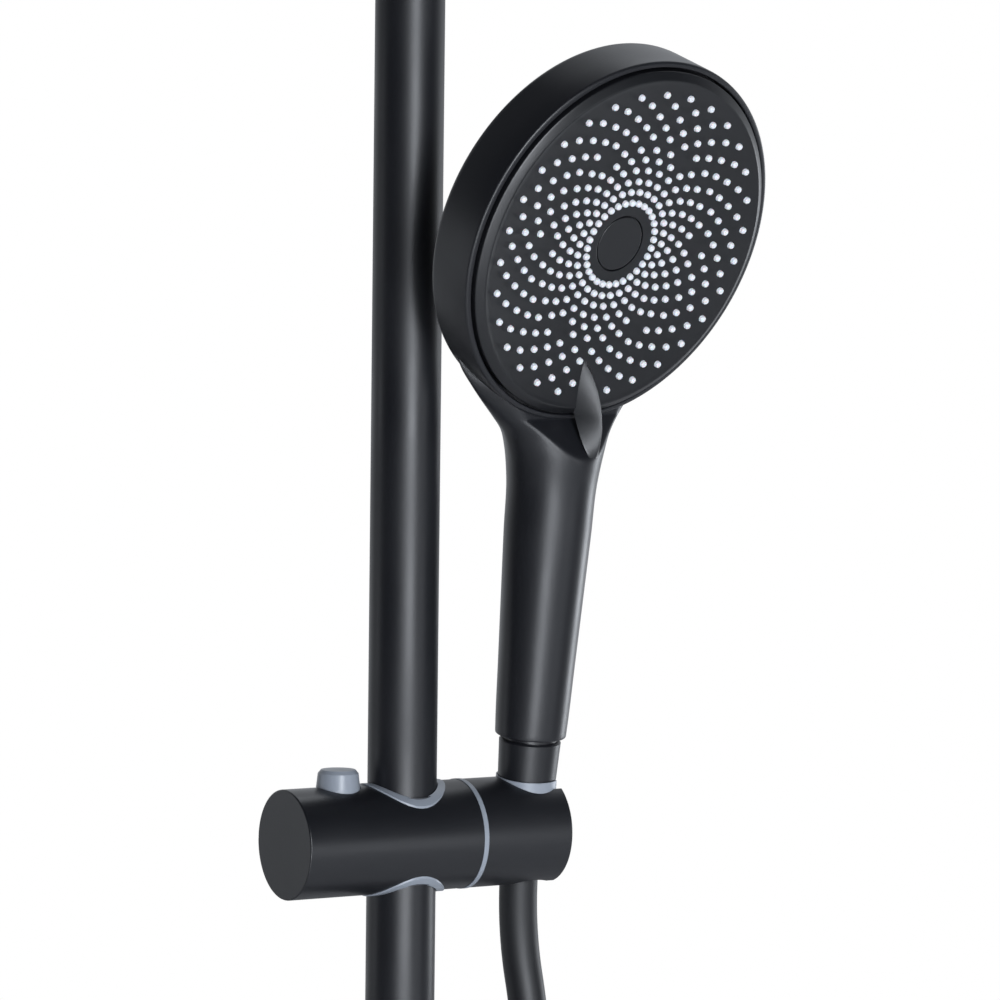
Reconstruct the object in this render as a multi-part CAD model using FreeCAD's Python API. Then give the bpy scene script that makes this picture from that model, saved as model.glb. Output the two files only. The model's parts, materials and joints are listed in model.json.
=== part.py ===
import FreeCAD, Part
import math
import os

# Rainfall shower column: a wall-fed riser with a diverter, a sliding handset and an overhead
# rain head.  Millimetres, +Z up, +Y into the wall, origin at the centre of the lower wall flange.

V = FreeCAD.Vector
X, Y, Z = V(1, 0, 0), V(0, 1, 0), V(0, 0, 1)
os.makedirs("parts", exist_ok=True)

# ---- driving dimensions -------------------------------------------------------------------
RAIL_R = 12.5            # riser tube, outside radius
RAIL_WALL = 1.2
RAIL_OUT = 62.0          # rail axis to the wall
RAIL_TOP = 1175.0
RAIL_FOOT = 22.0
SLIDER_Z = 670.0         # height of the slider's axis at rest
BRACKET_Z = (350.0, 1090.0)

BARREL_R = 19.73         # horizontal slider barrel
BARREL_LEFT = -47.9
BARREL_RIGHT = 60.3
RING_LEFT, RING_RIGHT = 23.1, 24.9
SOCKET_X = 50.75         # handset axis, right of the rail
SOCKET_TILT = 7.7        # degrees forward
HEAD_TURN = 10.79        # degrees the handset is turned in its socket
SOCKET_R = 11.3
SLOT_HALF = 9.6
RUN = 0.05               # running clearance, radial

HEAD_OFFSET, HEAD_HEIGHT = 25.05, 219.63   # face centre in the handset's own frame
HEAD_TILT = 13.88        # degrees between the face and the handle's axis
DRUM_R = 68.6
DRUM_BACK = -22.2        # heights along the face's normal
LIP_W = -0.36
PLATE_R = 65.5
NOZZLE_COUNT = 30
NOZZLE_RINGS = (15.6, 19.8, 23.8, 28.1, 32.2, 36.1, 41.0, 44.8, 48.8, 53.2, 57.1)
NOZZLE_PHASE = 4.3
SPARE_RING = 5           # every fifth nozzle is left out of this ring

HOSE_R = 7.0
ARM_REACH = 400.0        # rail axis to rain head axis
ARM_BEND = 80.0
ARM_R = 11.0
RAIN_R = 115.0
RAIN_Z = 1225.0          # centre of the ball joint

# route of the hose's centreline from the handset's nut to the outlet, (x, y from the rail, z)
HOSE_ROUTE = (
    (50.75, 1.614, 658.08), (50.75, 4.6, 636), (53.9, 1.0, 594), (58.2, -2.0, 520), (68, -5, 414),
    (92, -10, 285), (125, -15, 140), (152, -19, -10), (163, -22, -128), (163, -24, -232),
    (156, -25, -307), (114.8, -25, -358), (51.7, -23, -371), (-3.7, -19, -339), (-25.6, -14, -275),
    (-18, -7, -197), (0, 0, -123), (0, 0, -60))
HOSE_SPLITS = (564.0, 355.0)   # levels where one stretch of hose meets the next


# ---- helpers ------------------------------------------------------------------------------
def cylinder(radius, length, base=V(0, 0, 0), axis=Z):
    return Part.makeCylinder(radius, length, base, axis)


def tube(outer, inner, length, base=V(0, 0, 0), axis=Z):
    return cylinder(outer, length, base, axis).cut(cylinder(inner, length, base, axis))


def box(low, high):
    size = V(*high) - V(*low)
    return Part.makeBox(size.x, size.y, size.z, V(*low))


def turned(profile):
    """Solid of revolution about Z from closed (radius, height) points."""
    points = [V(r, 0, h) for r, h in profile]
    face = Part.Face(Part.makePolygon(points + points[:1]))
    return face.revolve(V(0, 0, 0), Z, 360)


def prism(points, direction):
    return Part.Face(Part.makePolygon(points + points[:1])).extrude(direction)


def rounded(shape, radius, choose):
    edges = [e for e in shape.Edges if choose(e)]
    return shape.makeFillet(radius, edges) if edges else shape


def round_edges_at(shape, radius, axis, level):
    """Fillet the closed circular edges that lie at one level along an axis."""
    def lies_there(edge):
        whole = edge.isClosed() and isinstance(edge.Curve, Part.Circle)
        return whole and abs(edge.CenterOfMass.dot(axis) - level) < 0.01
    return rounded(shape, radius, lies_there)


def spoke_points(count, radius, start=0.0):
    step = 2 * math.pi / count
    return [(radius * math.cos(start + k * step), radius * math.sin(start + k * step))
            for k in range(count)]


def hexagon(across, length, base, axis=Z):
    corner = across / math.sqrt(3)
    points = [V(x, y, 0) for x, y in spoke_points(6, corner)]
    solid = prism(points, V(0, 0, length))
    solid.Placement = FreeCAD.Placement(base, FreeCAD.Rotation(Z, axis))
    return solid


def placed(shape, placement):
    copy = shape.copy()
    copy.Placement = placement.multiply(copy.Placement)
    return copy


def save(name, shape):
    solids = shape.Solids
    if not solids or not all(s.isValid() for s in solids):
        raise ValueError(name + " is not a valid solid")
    shape = solids[0] if len(solids) == 1 else Part.makeCompound(solids)
    shape.exportStep("parts/" + name + ".step")
    print("%-24s solids %3d  volume %10.1f" % (name, len(solids), shape.Volume))


ON_RAIL = FreeCAD.Placement(V(0, -RAIL_OUT, 0), FreeCAD.Rotation())
ON_SLIDER = FreeCAD.Placement(V(0, -RAIL_OUT, SLIDER_Z), FreeCAD.Rotation())
ON_HOLDER = FreeCAD.Placement(V(0, -RAIL_OUT, SLIDER_Z), FreeCAD.Rotation(X, SOCKET_TILT))
ON_HANDSET = FreeCAD.Placement(V(SOCKET_X, -RAIL_OUT, SLIDER_Z), FreeCAD.Rotation(X, SOCKET_TILT)).multiply(
    FreeCAD.Placement(V(0, 0, 0), FreeCAD.Rotation(Z, HEAD_TURN)))
# the face frame: its Z is the spray direction, its Y runs up the face
FACE = FreeCAD.Placement(V(0, -HEAD_OFFSET, HEAD_HEIGHT), FreeCAD.Rotation(X, 90 + HEAD_TILT))
ON_FACE = ON_HANDSET.multiply(FACE)


# ---- wall fittings and riser --------------------------------------------------------------
def wall_flange():
    """Round cover flange with its back on the wall, axis along -Y."""
    flange = cylinder(30, 8, V(0, 0, 0), Y * -1)
    flange = round_edges_at(flange, 2.5, Y * -1, 8)
    return flange.cut(cylinder(11.0, 8, V(0, 0, 0), Y * -1)).cut(cylinder(27, 5, V(0, 0, 0), Y * -1))


def wall_plate():
    """Fixing plate hidden under an upper flange, with two screw holes."""
    plate = cylinder(26, 3, V(0, 0, 0), Y * -1).cut(cylinder(5.0, 3, V(0, 0, 0), Y * -1))
    for x in (-16, 16):
        plate = plate.cut(cylinder(2.75, 3, V(x, 0, 0), Y * -1))
    return plate


def wall_screws():
    screws = []
    for x in (-16, 16):
        shank = cylinder(2.4, 25, V(x, 0, 0), Y)
        neck = cylinder(2.65, 3, V(x, -3, 0), Y)
        head = cylinder(4.4, 1.9, V(x, -3, 0), Y * -1)
        screws.append(shank.fuse(neck).fuse(head))
    return Part.makeCompound(screws)


def rail_bracket():
    """Arm from the wall plate to a ring around the rail."""
    arm = cylinder(10.95, RAIL_OUT - 3 - RAIL_R, V(0, -3, 0), Y * -1)
    ring = cylinder(17, 24, V(0, -RAIL_OUT, -12))
    ring = round_edges_at(ring, 1.5, Z, -12)
    ring = round_edges_at(ring, 1.5, Z, 12)
    body = arm.fuse(ring).cut(cylinder(RAIL_R, 24, V(0, -RAIL_OUT, -12)))
    body = body.cut(cylinder(2.1, 14, V(0, -3, 0), Y * -1))
    return body.cut(cylinder(2.05, 8, V(0, -RAIL_OUT - RAIL_R + 1, 0), Y * -1))


def clamp_screw():
    """Grub screw that pins the rail in its ring, with a hexagon socket."""
    screw = cylinder(2.0, 4, V(0, -RAIL_OUT - RAIL_R, 0), Y * -1)
    return screw.cut(hexagon(2, 2, V(0, -RAIL_OUT - RAIL_R - 2, 0), Y * -1))


def sleeve_screw():
    return cylinder(1.9, 3, V(0, RAIL_R - RAIL_OUT, RAIL_TOP - 10), Y)


def bracket_bolt():
    """Bolt that draws the bracket's arm onto the wall plate."""
    return cylinder(2.0, 11, V(0, 0, 0), Y * -1)


def at_brackets(make):
    return [placed(make(), FreeCAD.Placement(V(0, 0, h), FreeCAD.Rotation())) for h in BRACKET_Z]


for index, place in enumerate(("lower", "upper")):
    save(place + "_wall_flange", at_brackets(wall_flange)[index])
    save(place + "_wall_plate", at_brackets(wall_plate)[index])
    save(place + "_rail_bracket", at_brackets(rail_bracket)[index])
save("wall_screws", Part.makeCompound(at_brackets(wall_screws)))
save("bracket_bolts", Part.makeCompound(at_brackets(bracket_bolt)))
save("clamp_screws", Part.makeCompound(at_brackets(clamp_screw) + [sleeve_screw()]))

BODY_R, BODY_HALF = 21.0, 32.0


def supply_pipe():
    """Threaded half-inch supply stub, from the wall socket to the diverter."""
    pipe = cylinder(10.48, 20, V(0, 0, 0), Y).fuse(cylinder(10.95, RAIL_OUT - BODY_R - 2, V(0, 0, 0), Y * -1))
    neck = cylinder(9, 10, V(0, -RAIL_OUT + BODY_R + 2, 0), Y * -1)
    return pipe.fuse(neck).cut(cylinder(7, 90, V(0, 20, 0), Y * -1))


def diverter_body():
    """Brass body: inlet behind, knob boss in front, riser above, hose outlet below."""
    barrel = cylinder(BODY_R, 2 * BODY_HALF, V(0, 0, -BODY_HALF))
    barrel = round_edges_at(barrel, 2.5, Z, -BODY_HALF)
    barrel = round_edges_at(barrel, 2.5, Z, BODY_HALF)
    boss = cylinder(18, BODY_R + 9, V(0, 0, 0), Y * -1)
    boss = round_edges_at(boss, 1.0, Y * -1, BODY_R + 9)
    body = barrel.fuse(boss)
    body = body.cut(cylinder(14.0, BODY_R + 9 + 8, V(0, 8, 0), Y * -1))
    body = body.cut(cylinder(RAIL_R, BODY_HALF, V(0, 0, RAIL_FOOT)))
    body = body.cut(cylinder(9.5, 2 * BODY_HALF, V(0, 0, -BODY_HALF)))
    return body.cut(cylinder(9.0, BODY_R, V(0, BODY_R, 0), Y * -1))


def diverter_cartridge():
    """Ceramic-disc cartridge seated behind the knob."""
    case = cylinder(13.9, 24, V(0, 4, 0), Y * -1)
    port = cylinder(4.5, 40, V(0, -6, -20))
    inlet = cylinder(4.5, 12, V(0, 8, 0), Y * -1)
    return case.cut(port).cut(inlet).cut(cylinder(4 + RUN, 12, V(0, -12, 0), Y * -1))


def cartridge_nut():
    nut = tube(13.9, 6.5, 8, V(0, -20, 0), Y * -1)
    return nut


def outlet_nipple():
    """Half-inch male outlet below the body."""
    nipple = cylinder(9.45, 8, V(0, 0, -BODY_HALF)).fuse(cylinder(10.45, 12, V(0, 0, -BODY_HALF - 12)))
    return nipple.cut(cylinder(7.0, 20, V(0, 0, -BODY_HALF - 12)))


def check_valve():
    shell = tube(6.9, 5.2, 9, V(0, 0, -BODY_HALF - 10))
    poppet = cylinder(3.6, 1.6, V(0, 0, -BODY_HALF - 7)).fuse(cylinder(0.9, 6, V(0, 0, -BODY_HALF - 8)))
    bridge = box((-5.6, -0.6, -BODY_HALF - 9), (5.6, 0.6, -BODY_HALF - 8))
    return shell.fuse(bridge).fuse(poppet)


def riser_nut():
    """Knurled union nut that holds the riser in the diverter."""
    nut = cylinder(17.5, 20, V(0, 0, BODY_HALF))
    nut = round_edges_at(nut, 1.2, Z, BODY_HALF + 20)
    for x, y in spoke_points(24, 18.1):
        nut = nut.cut(cylinder(1.0, 14, V(x, y, BODY_HALF + 3)))
    return nut.cut(cylinder(RAIL_R, 20, V(0, 0, BODY_HALF)))


def riser_rail():
    return tube(RAIL_R, RAIL_R - RAIL_WALL, RAIL_TOP - RAIL_FOOT, V(0, 0, RAIL_FOOT))


save("supply_flange", wall_flange())
save("supply_pipe", supply_pipe())
save("diverter_body", placed(diverter_body(), ON_RAIL))
save("diverter_cartridge", placed(diverter_cartridge(), ON_RAIL))
save("cartridge_nut", placed(cartridge_nut(), ON_RAIL))
save("outlet_nipple", placed(outlet_nipple(), ON_RAIL))
save("check_valve", placed(check_valve(), ON_RAIL))
save("riser_nut", placed(riser_nut(), ON_RAIL))
save("riser_rail", placed(riser_rail(), ON_RAIL))


# ---- diverter knob ------------------------------------------------------------------------
def diverter_knob():
    """Round knob with a finger bar, hollow behind."""
    knob = cylinder(19, 24, V(0, -BODY_R - 9.5, 0), Y * -1)
    knob = round_edges_at(knob, 2.0, Y * -1, BODY_R + 33.5)
    front = -BODY_R - 33.5
    bar = box((-3, front - 7, -17), (3, front + 1, 17))
    bar = rounded(bar, 2.0, lambda e: e.BoundBox.YMax < front + 0.99 or e.BoundBox.YLength > 1)
    knob = knob.cut(cylinder(16.5, 12, V(0, -BODY_R - 9.5, 0), Y * -1)).fuse(bar)
    return knob.cut(cylinder(3.95, 20, V(0, -BODY_R - 9.5, 0), Y * -1))


def spindle():
    """Splined spindle from the cartridge into the knob."""
    rod = cylinder(4, 36, V(0, -12.2, 0), Y * -1)
    flat = box((3.2, -BODY_R - 29, -4), (5, -BODY_R - 9.7, 4))
    return rod.cut(flat).cut(cylinder(1.5, 10, V(0, -48.2, 0), Y))


save("diverter_knob", placed(diverter_knob(), ON_RAIL))
save("knob_spindle", placed(spindle().common(cylinder(3.95, 60, V(0, -5, 0), Y * -1)), ON_RAIL))


# ---- overhead arm and rain head -----------------------------------------------------------
def arm_path():
    """Up from the rail, over towards the user, and down to the ball joint."""
    low, drop = RAIL_TOP - 35, RAIN_Z + 20.5
    top = drop + 14 + ARM_BEND
    far = -ARM_REACH
    up, over = Part.makeLine(V(0, 0, low), V(0, 0, top - ARM_BEND)), ARM_BEND * (1 - math.sqrt(0.5))
    first = Part.Arc(V(0, 0, top - ARM_BEND), V(0, -over, top - over), V(0, -ARM_BEND, top)).toShape()
    run = Part.makeLine(V(0, -ARM_BEND, top), V(0, far + ARM_BEND, top))
    last = Part.Arc(V(0, far + ARM_BEND, top), V(0, far + over, top - over), V(0, far, top - ARM_BEND)).toShape()
    down = Part.makeLine(V(0, far, top - ARM_BEND), V(0, far, drop))
    return Part.Wire([up, first, run, last, down])


def pipe(path, radius, start, direction):
    profile = Part.Wire([Part.makeCircle(radius, start, direction)])
    return path.makePipeShell([profile], True, False)


def shower_arm():
    start = V(0, 0, RAIL_TOP - 35)
    path = arm_path()
    return pipe(path, ARM_R, start, Z).cut(pipe(path, ARM_R - 1.2, start, Z))


def arm_sleeve():
    """Turned sleeve that covers the joint between rail and arm."""
    sleeve = turned([(RAIL_R, RAIL_TOP - 22), (15.5, RAIL_TOP - 22), (15.5, RAIL_TOP + 6),
                     (14.5, RAIL_TOP + 8), (ARM_R, RAIL_TOP + 8), (ARM_R, RAIL_TOP), (RAIL_R, RAIL_TOP)])
    sleeve = sleeve.cut(cylinder(1.95, 6, V(0, RAIL_R - 1, RAIL_TOP - 10), Y))
    return sleeve


def arm_seals():
    """Two rubber rings between the arm's foot and the rail."""
    rings = [Part.makeTorus(ARM_R + 0.15, 0.14, V(0, 0, RAIL_TOP - 30 + 8 * k), Z) for k in range(2)]
    return Part.makeCompound(rings)


BALL_R = 11.0
BALL_AT = V(0, -ARM_REACH, RAIN_Z)


def arm_ball():
    """Drilled ball on a stud, with a cup that is screwed onto the end of the arm."""
    ball = Part.makeSphere(BALL_R, BALL_AT)
    stud = cylinder(5, 10, BALL_AT + V(0, 0, 8))
    collar = hexagon(19, 3.5, BALL_AT + V(0, 0, 15))
    cup = cylinder(ARM_R + 1.2, 10, BALL_AT + V(0, 0, 18.5)).cut(cylinder(ARM_R, 8, BALL_AT + V(0, 0, 20.5)))
    return ball.fuse([stud, collar, cup]).cut(cylinder(3, 40, BALL_AT - V(0, 0, 12)))


LINER_R = 12.2


def ball_liner():
    """Thin spherical bearing shell between the ball and the head."""
    liner = Part.makeSphere(LINER_R, BALL_AT).cut(Part.makeSphere(BALL_R + RUN, BALL_AT))
    return liner.common(cylinder(20, 12, BALL_AT - V(0, 0, 7)))


def ball_ring():
    """Rubber friction ring that presses on the bearing shell from below."""
    ring = tube(14.0, 6.0, 5, BALL_AT - V(0, 0, 10.5))
    return ring.cut(Part.makeSphere(LINER_R + RUN, BALL_AT))


def ball_nut():
    """Domed nut that holds the head on the ball."""
    low = -16
    nut = turned([(0, low), (17, low), (17, 3), (14, 8.5), (0, 8.5)])
    nut = nut.cut(cylinder(14.6, 16, V(0, 0, low))).fuse(tube(15, 11.5, 8, V(0, 0, 0)))
    nut = nut.cut(Part.makeSphere(LINER_R + RUN, V(0, 0, 0))).cut(cylinder(9.2, 20))
    nut.translate(BALL_AT)
    return nut


def rain_shell():
    """Thin dished upper shell of the rain head, with a threaded neck."""
    top = RAIN_Z - 24
    shell = turned([(RAIN_R, top - 12), (RAIN_R, top - 6), (RAIN_R - 2, top - 4), (60, top - 1), (20, top),
                    (14.4, top), (14.4, RAIN_Z - 11), (6.5, RAIN_Z - 11), (6.5, top - 4), (58, top - 4),
                    (RAIN_R - 4, top - 7), (RAIN_R - 4, top - 12)])
    shell.translate(V(0, -ARM_REACH, 0))
    return shell


RAIN_RINGS = range(1, 9)
RAIN_STEP = 12.8
RAIN_FACE = RAIN_Z - 37.5


def rain_nozzle_places():
    places = []
    for ring in RAIN_RINGS:
        places += spoke_points(6 * ring, RAIN_STEP * ring, 0.35 * ring)
    return places


def rain_plate():
    """Lower plate of the rain head, drilled for its nozzles."""
    plate = cylinder(RAIN_R - 4.2, 3, V(0, 0, RAIN_FACE))
    holes = Part.makeCompound([cylinder(1.5, 3, V(x, y, RAIN_FACE)) for x, y in rain_nozzle_places()])
    plate = plate.cut(holes)
    plate.translate(V(0, -ARM_REACH, 0))
    return plate


def rain_nozzles():
    """Silicone mat behind the plate; its nozzles stand through the holes."""
    mat = cylinder(RAIN_R - 6, 1.2, V(0, 0, RAIN_FACE + 3))
    tips = [cylinder(1.3, 4.5, V(x, y, RAIN_FACE - 1.5)) for x, y in rain_nozzle_places()]
    mat = mat.fuse(tips)
    mat.translate(V(0, -ARM_REACH, 0))
    return mat


def rain_screws():
    screws = []
    for x, y in spoke_points(3, 40, 0.5):
        screws.append(cylinder(1.8, 4, V(x, y - ARM_REACH, RAIN_FACE + 4.2)))
    return Part.makeCompound(screws)


save("shower_arm", placed(shower_arm(), ON_RAIL))
save("arm_sleeve", placed(arm_sleeve(), ON_RAIL))
save("arm_seals", placed(arm_seals(), ON_RAIL))
save("arm_ball", placed(arm_ball(), ON_RAIL))
save("ball_liner", placed(ball_liner(), ON_RAIL))
save("ball_ring", placed(ball_ring(), ON_RAIL))
save("ball_nut", placed(ball_nut(), ON_RAIL))
save("rain_shell", placed(rain_shell(), ON_RAIL))
save("rain_plate", placed(rain_plate(), ON_RAIL))
save("rain_nozzles", placed(rain_nozzles(), ON_RAIL))
save("rain_screws", placed(rain_screws(), ON_RAIL))


# ---- slider -------------------------------------------------------------------------------
BUSH_R = 15.5
SLEEVE_R = 13.3
BUTTON_X = -26.3
BUTTON_R = 7.9
BARREL_WALL = 2.4


def along_x(radius, start, end):
    return cylinder(radius, end - start, V(start, 0, 0), X)


def slider_barrel():
    """Fixed left part of the barrel, hollow, crossed by the rail's bush."""
    outer = along_x(BARREL_R, BARREL_LEFT + 1.2, RING_LEFT)
    hollow = along_x(BARREL_R - BARREL_WALL, BARREL_LEFT + 1.2, 20.0)
    body = outer.cut(hollow)
    body = body.cut(cylinder(BUSH_R, 60, V(0, 0, -30)))
    body = body.cut(cylinder(BUTTON_R + 0.25, 20, V(BUTTON_X, 0, 5)))
    post = tube(5.2, 3.7, 8, V(BUTTON_X, 0, -17.6))
    return body.fuse(post).cut(along_x(4 + RUN, 15, 30))


def barrel_end_cap():
    disc = along_x(BARREL_R, BARREL_LEFT, BARREL_LEFT + 1.2)
    disc = round_edges_at(disc, 0.5, X, BARREL_LEFT)
    return disc.fuse(along_x(BARREL_R - BARREL_WALL, BARREL_LEFT + 1.2, BARREL_LEFT + 5))


def rail_bush():
    """Collar round the rail; its ends follow the barrel as a saddle and stand just proud."""
    collar = tube(BUSH_R, SLEEVE_R + RUN, 50, V(0, 0, -25))
    collar = collar.common(along_x(BARREL_R + 0.5, -20, 20))
    lip = tube(SLEEVE_R + 0.2, RAIL_R + 0.35, 50, V(0, 0, -25)).common(along_x(BARREL_R + 0.5, -20, 20))
    lip = lip.cut(cylinder(BUSH_R, 32, V(0, 0, -16)))
    collar = collar.fuse(lip)
    return collar.cut(box((-17, -4.3, -5.3), (-10, 4.3, 5.3)))


def glide_sleeve():
    """Split plastic sleeve on the rail; the barrel and its bush turn about it."""
    sleeve = tube(SLEEVE_R, RAIL_R + RUN, 31.4, V(0, 0, -15.7))
    return sleeve.cut(box((10, -0.75, -17), (15, 0.75, 17)))


def brake_shoe():
    """Shoe behind the release stem; it squeezes the sleeve onto the rail."""
    shoe = box((BUTTON_X + 4.9, -4, -5), (-11, 4, 5))
    nose = box((BUTTON_X + 3.9, -1.5, -0.8), (BUTTON_X + 4.9, 1.5, 0.8))
    return shoe.fuse(nose).cut(cylinder(SLEEVE_R + 0.15, 20, V(0, 0, -10)))


def release_button():
    """Round button with a stem whose cone lets the shoe back as it goes down."""
    cap = turned([(0, 13.5), (BUTTON_R, 13.5), (BUTTON_R, 19.5), (7.3, 24.6), (6.2, 25.9), (0, 26.2)])
    stem = turned([(0, -6), (3.5, -6), (3.5, 1), (2.5, 4), (2.5, 14), (0, 14)])
    button = cap.fuse(stem)
    button.translate(V(BUTTON_X, 0, 0))
    return button


def button_spring():
    """Helical return spring under the stem, its wire drawn with six flats."""
    coil_r, wire_r, pitch, turns, steps = 2.7, 0.48, 2.2, 4, 14
    corners = [V(coil_r + x, 0, z) for x, z in spoke_points(6, wire_r)]
    sections = []
    for k in range(turns * steps + 1):
        ring = Part.makePolygon(corners + corners[:1])
        ring.rotate(V(0, 0, 0), Z, 360 * k / steps)
        ring.translate(V(BUTTON_X, 0, -15.9 + pitch * k / steps))
        sections.append(ring)
    return Part.makeLoft(sections, True, True)


def swivel_ring():
    return along_x(19.95, RING_LEFT, RING_RIGHT).cut(along_x(4 + RUN, 20, 30))


def pivot_bolt():
    head = along_x(7, 17.4, 18.8)
    return head.fuse(along_x(4, 18.8, 36)).cut(cylinder(2.0, 1.0, V(17.4, 0, 0), X))


def spring_washer():
    washer = along_x(6.8, 18.9, 19.9).cut(along_x(4 + RUN, 18, 21))
    return washer.cut(box((18, -0.6, 3), (21, 0.6, 8)))


def handset_holder():
    """Turning right part of the barrel, with a socket slotted out through its end."""
    outer = along_x(BARREL_R, RING_RIGHT + 0.1, BARREL_RIGHT)
    outer = round_edges_at(outer, 0.6, X, BARREL_RIGHT)
    outer = outer.cut(cylinder(SOCKET_R, 60, V(SOCKET_X, 0, -30)))
    outer = outer.cut(box((SOCKET_X, -SLOT_HALF, -30), (BARREL_RIGHT + 5, SLOT_HALF, 30)))
    return outer.cut(along_x(4, 20, 36.5))


def seat_radius(height):
    """Radius of the conical hose nut at a height above the barrel's axis."""
    return 11.3 - 0.046 * (34 - height)


def socket_liner():
    """C-shaped plastic liner, its bore a cone that seats the hose nut."""
    gap = 0.15
    cone = Part.makeCone(seat_radius(-16) + gap, seat_radius(20) + gap, 36, V(0, 0, -16))
    liner = cylinder(SOCKET_R, 36, V(0, 0, -16)).cut(cone)
    liner = liner.cut(box((0, -8.2, -30), (20, 8.2, 30)))
    liner.translate(V(SOCKET_X, 0, 0))
    return liner


save("slider_barrel", placed(slider_barrel(), ON_SLIDER))
save("barrel_end_cap", placed(barrel_end_cap(), ON_SLIDER))
save("rail_bush", placed(rail_bush(), ON_SLIDER))
save("glide_sleeve", placed(glide_sleeve(), ON_SLIDER))
save("brake_shoe", placed(brake_shoe(), ON_SLIDER))
save("release_button", placed(release_button(), ON_SLIDER))
save("button_spring", placed(button_spring(), ON_SLIDER))
save("swivel_ring", placed(swivel_ring(), ON_SLIDER))
save("pivot_bolt", placed(pivot_bolt(), ON_SLIDER))
save("spring_washer", placed(spring_washer(), ON_SLIDER))
save("handset_holder", placed(handset_holder(), ON_HOLDER))
save("socket_liner", placed(socket_liner(), ON_HOLDER))


# ---- handset ------------------------------------------------------------------------------
HANDLE_FOOT = 35.5
NUT_FOOT, NUT_TOP = -12.0, 34.0

# handle and neck sections: height, half width, half depth, front swell, centre in y
NECK = ((35.5, 12.0, 12.0, 0.0, 0.0), (38.8, 13.1, 13.1, 0.0, 0.0), (131.0, 16.55, 16.55, 0.0, 0.0),
        (141.0, 18.7, 18.0, 0.02, 0.0), (148.0, 22.4, 17.4, 0.08, 0.3), (154.0, 28.2, 15.2, 0.18, 0.6),
        (160.0, 35.5, 12.6, 0.24, 0.8), (168.0, 43.0, 10.0, 0.20, 0.0))


def neck_section(height, half_width, half_depth, swell, centre):
    """Closed curve: an oval that is wider in front (-Y) than behind."""
    points = []
    for k in range(24):
        a = 2 * math.pi * k / 24
        points.append(V(half_width * math.cos(a) * (1 - swell * math.sin(a)),
                        centre + half_depth * math.sin(a), height))
    curve = Part.BSplineCurve()
    curve.interpolate(Points=points, PeriodicFlag=True)
    return Part.Wire([curve.toShape()])


def drum():
    body = cylinder(DRUM_R, LIP_W - DRUM_BACK, V(0, 0, DRUM_BACK))
    body = round_edges_at(body, 0.8, Z, LIP_W)
    body = round_edges_at(body, 2.5, Z, DRUM_BACK)
    return placed(body, FACE)


def drum_hollow():
    hollow = cylinder(PLATE_R + 0.6, 6, V(0, 0, LIP_W - 5)).fuse(
        cylinder(64.0, 17.5, V(0, 0, DRUM_BACK + 2.4)))
    return placed(hollow, FACE)


def chin_cut():
    """Wedge cleared in front of the lip's foot, where the selector's fin swings."""
    corners = [V(0, -68.2, LIP_W), V(0, -78.2, 12.6), V(0, -60, 40), V(0, -20, 40), V(0, -20, LIP_W)]
    wedge = prism([c - V(60, 0, 0) for c in corners], V(120, 0, 0))
    return placed(wedge, FACE)


def handset_shell():
    """Handle, neck and drum housing in one moulding, open at the face and the foot."""
    handle = Part.makeLoft([neck_section(*row) for row in NECK], True, True)
    body = handle.fuse(drum())
    body = body.cut(chin_cut()).cut(drum_hollow())
    body = body.cut(cylinder(10.4, 100, V(0, 0, HANDLE_FOOT)))
    return body.cut(cylinder(9.0, 40, V(0, 0, HANDLE_FOOT + 99)))


def waterway():
    """Inner tube with the threaded foot that the hose nut screws onto."""
    outer = turned([(7.0, 24), (10.0, 24), (10.0, 35), (10.3, 35.6), (10.3, 60), (9.3, 62), (9.3, 128),
                    (7.5, 130), (7.5, 24.5)])
    return outer


def inlet_filter():
    disc = cylinder(6.9, 2.5, V(0, 0, 24.2))
    holes = [cylinder(0.8, 2.5, V(x, y, 24.2)) for x, y in spoke_points(6, 4.2)]
    return disc.cut(holes)


def hose_cone_nut():
    """Tapered nut: the hose's upper end, seated in the socket liner."""
    nut = turned([(0, NUT_FOOT), (seat_radius(NUT_FOOT) - 0.6, NUT_FOOT), (seat_radius(NUT_FOOT + 1), NUT_FOOT + 1),
                  (seat_radius(NUT_TOP - 0.6), NUT_TOP - 0.6), (seat_radius(NUT_TOP) - 0.6, NUT_TOP), (0, NUT_TOP)])
    nut = nut.cut(cylinder(10.02, 13, V(0, 0, 22)))
    return nut.cut(cylinder(5.0, 60, V(0, 0, NUT_FOOT)))


def washer_ring(inner, base):
    return tube(9.8, inner, 1.8, base)


DISH = ((0.0, 0.4), (59.0, 0.4), (62.4, 2.4))   # (radius, height): flat floor, then the rising rim


def face_surface(radius):
    """Height of the dished spray plate at a radius."""
    for (r0, w0), (r1, w1) in zip(DISH, DISH[1:]):
        if radius <= r1:
            return w0 + (w1 - w0) * (radius - r0) / (r1 - r0)
    return DISH[-1][1]


def spray_plate():
    """Dished spray plate with a bevelled rim and a back skirt, drilled for every nozzle."""
    rim = [(PLATE_R, 0.7), (PLATE_R, -2.2), (63.4, -2.2), (63.4, -4.2), (60.9, -4.2), (60.9, -2.2), (0, -2.2)]
    plate = turned(list(DISH) + rim)
    holes = Part.makeCompound([cylinder(1.05, 10, V(x, y, -4)) for x, y, _ in face_nozzles()])
    plate = plate.cut(holes).cut(cylinder(9.6, 3, V(0, 0, -1.2)))
    return plate.cut(cylinder(3 + RUN, 9, V(0, 0, -5)))


def face_cap():
    """Plain cap over the pivot screw at the plate's centre."""
    return cylinder(9.3, 0.9, V(0, 0, -0.6))


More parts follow.
